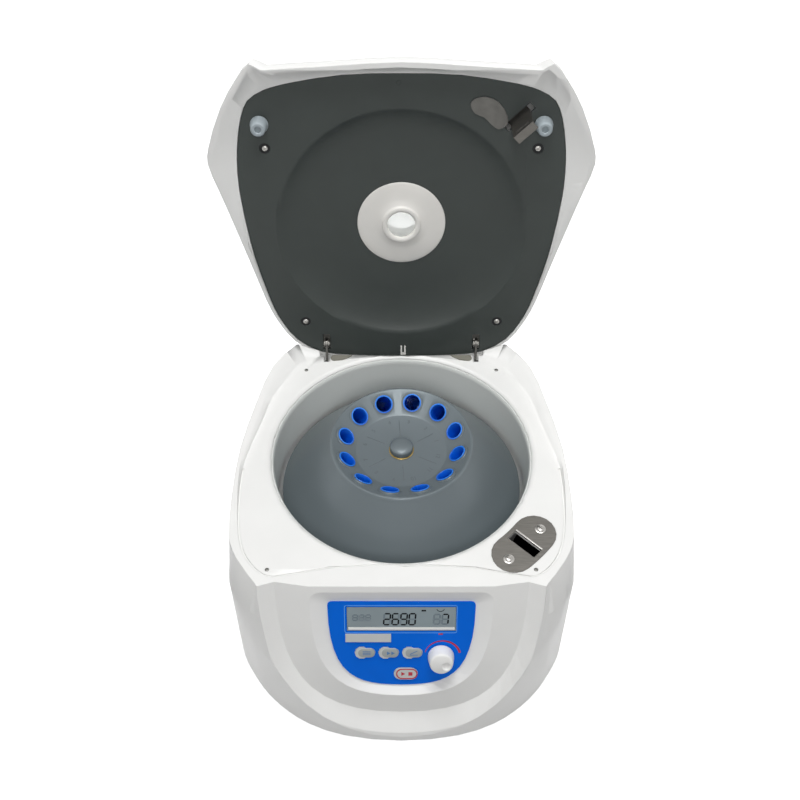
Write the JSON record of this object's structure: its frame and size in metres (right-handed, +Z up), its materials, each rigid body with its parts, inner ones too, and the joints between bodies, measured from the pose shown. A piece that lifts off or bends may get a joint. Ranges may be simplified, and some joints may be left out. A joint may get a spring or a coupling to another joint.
{
  "type": "tube centrifuge",
  "caption": "Benchtop tube centrifuge with an open hinged lid, angled rotor in a deep bowl, sloping control panel with keys and knob, and a lid latch.",
  "frame": {"origin": "on the bench, below the middle of the box round the part with its lid open", "axes": "+Z up, -Y towards the control panel, +X to the right of someone who faces the panel"},
  "size_m": [0.401, 0.504, 0.5272],
  "materials": {
    "white_shell": "satin white moulded plastic",
    "liner_grey": "dark grey fine-textured plastic",
    "chamber_grey": "light grey coated sheet",
    "rotor_grey": "mid grey satin coat",
    "sleeve_blue": "bright blue",
    "panel_blue": "printed blue film",
    "display": "grey-blue display",
    "steel": "plain steel",
    "brass": "bare brass",
    "black_plastic": "black moulded plastic",
    "rubber": "black rubber",
    "buffer": "pale blue-grey rubber",
    "clear": "clear plastic",
    "pale_plastic": "pale grey plastic",
    "board": "green circuit board"
  },
  "bodies": {
    "base": {"upper_housing": "white_shell", "base_tray": "black_plastic", "chamber_bowl": "chamber_grey", "motor_mount": "steel", "motor": "steel", "latch_plate": "steel", "rear_panel": "pale_plastic", "power_inlet": "black_plastic", "switch_frame": "black_plastic", "fuse_holder": "black_plastic", "foot_front_left": "rubber", "foot_rear_left": "rubber", "foot_front_right": "rubber", "foot_rear_right": "rubber", "hinge_bracket_left": "steel", "hinge_pin_left": "steel", "hinge_bracket_right": "steel", "hinge_pin_right": "steel", "motor_damper_1": "rubber", "motor_damper_2": "rubber", "motor_damper_3": "rubber", "latch_solenoid": "steel", "panel_overlay": "panel_blue", "display_window": "display", "label_plate": "pale_plastic", "control_board": "board"},
    "lid": {"lid_cover": "white_shell", "lid_liner": "liner_grey", "window_bezel": "pale_plastic", "window_lens": "clear", "bean_plate": "steel", "hinge_clevis_left": "steel", "hinge_clevis_right": "steel", "lid_buffer_left": "buffer", "lid_buffer_right": "buffer", "striker": "steel"},
    "rotor": {"drive_shaft": "steel", "rotor_bell": "rotor_grey", "rotor_nut": "rotor_grey", "nut_ring": "brass", "tube_sleeve_1": "sleeve_blue", "tube_sleeve_2": "sleeve_blue", "tube_sleeve_3": "sleeve_blue", "tube_sleeve_4": "sleeve_blue", "tube_sleeve_5": "sleeve_blue", "tube_sleeve_6": "sleeve_blue", "tube_sleeve_7": "sleeve_blue", "tube_sleeve_8": "sleeve_blue", "tube_sleeve_9": "sleeve_blue", "tube_sleeve_10": "sleeve_blue", "tube_sleeve_11": "sleeve_blue", "tube_sleeve_12": "sleeve_blue"},
    "key_1": {"panel_key_1": "pale_plastic"},
    "key_2": {"panel_key_2": "pale_plastic"},
    "key_3": {"panel_key_3": "pale_plastic"},
    "start_key": {"start_key": "pale_plastic"},
    "encoder": {"encoder_shaft": "steel"},
    "knob": {"speed_knob": "white_shell"},
    "bolt": {"latch_bolt": "steel"},
    "rocker": {"power_rocker": "black_plastic"}
  },
  "joints": [
    {"name": "lid_hinge", "type": "hinge", "parent": "base", "child": "lid", "pos_m": [0, 0.14545, 0.201], "axis": [1, 0, 0], "range_deg": [0, 104.3]},
    {"name": "rotor_spin", "type": "hinge", "parent": "base", "child": "rotor", "pos_m": [0, -0.00295, 0.187], "axis": [0, 0, 1], "continuous": true},
    {"name": "key_1_press", "type": "slide", "parent": "base", "child": "key_1", "axis": [0, 0.8988, -0.4384], "range_m": [0, 0.001], "stiffness_N_per_m": 800, "springref_m": -0.0005},
    {"name": "key_2_press", "type": "slide", "parent": "base", "child": "key_2", "axis": [0, 0.8988, -0.4384], "range_m": [0, 0.001], "stiffness_N_per_m": 800, "springref_m": -0.0005},
    {"name": "key_3_press", "type": "slide", "parent": "base", "child": "key_3", "axis": [0, 0.8988, -0.4384], "range_m": [0, 0.001], "stiffness_N_per_m": 800, "springref_m": -0.0005},
    {"name": "start_press", "type": "slide", "parent": "base", "child": "start_key", "axis": [0, 0.8988, -0.4384], "range_m": [0, 0.001], "stiffness_N_per_m": 800, "springref_m": -0.0005},
    {"name": "knob_press", "type": "slide", "parent": "base", "child": "encoder", "axis": [0, 0.8988, -0.4384], "range_m": [0, 0.0008], "stiffness_N_per_m": 1200, "springref_m": -0.001},
    {"name": "knob_turn", "type": "hinge", "parent": "encoder", "child": "knob", "pos_m": [0.04, -0.20777, 0.1115], "axis": [0, -0.8988, 0.4384], "continuous": true},
    {"name": "bolt_slide", "type": "slide", "parent": "base", "child": "bolt", "axis": [0.6884, 0.7254, 0], "range_m": [0, 0.008], "stiffness_N_per_m": 150, "springref_m": -0.002},
    {"name": "rocker_tilt", "type": "hinge", "parent": "base", "child": "rocker", "pos_m": [-0.008, 0.17918, 0.093], "axis": [1, 0, 0], "range_deg": [-8, 8]}
  ]
}
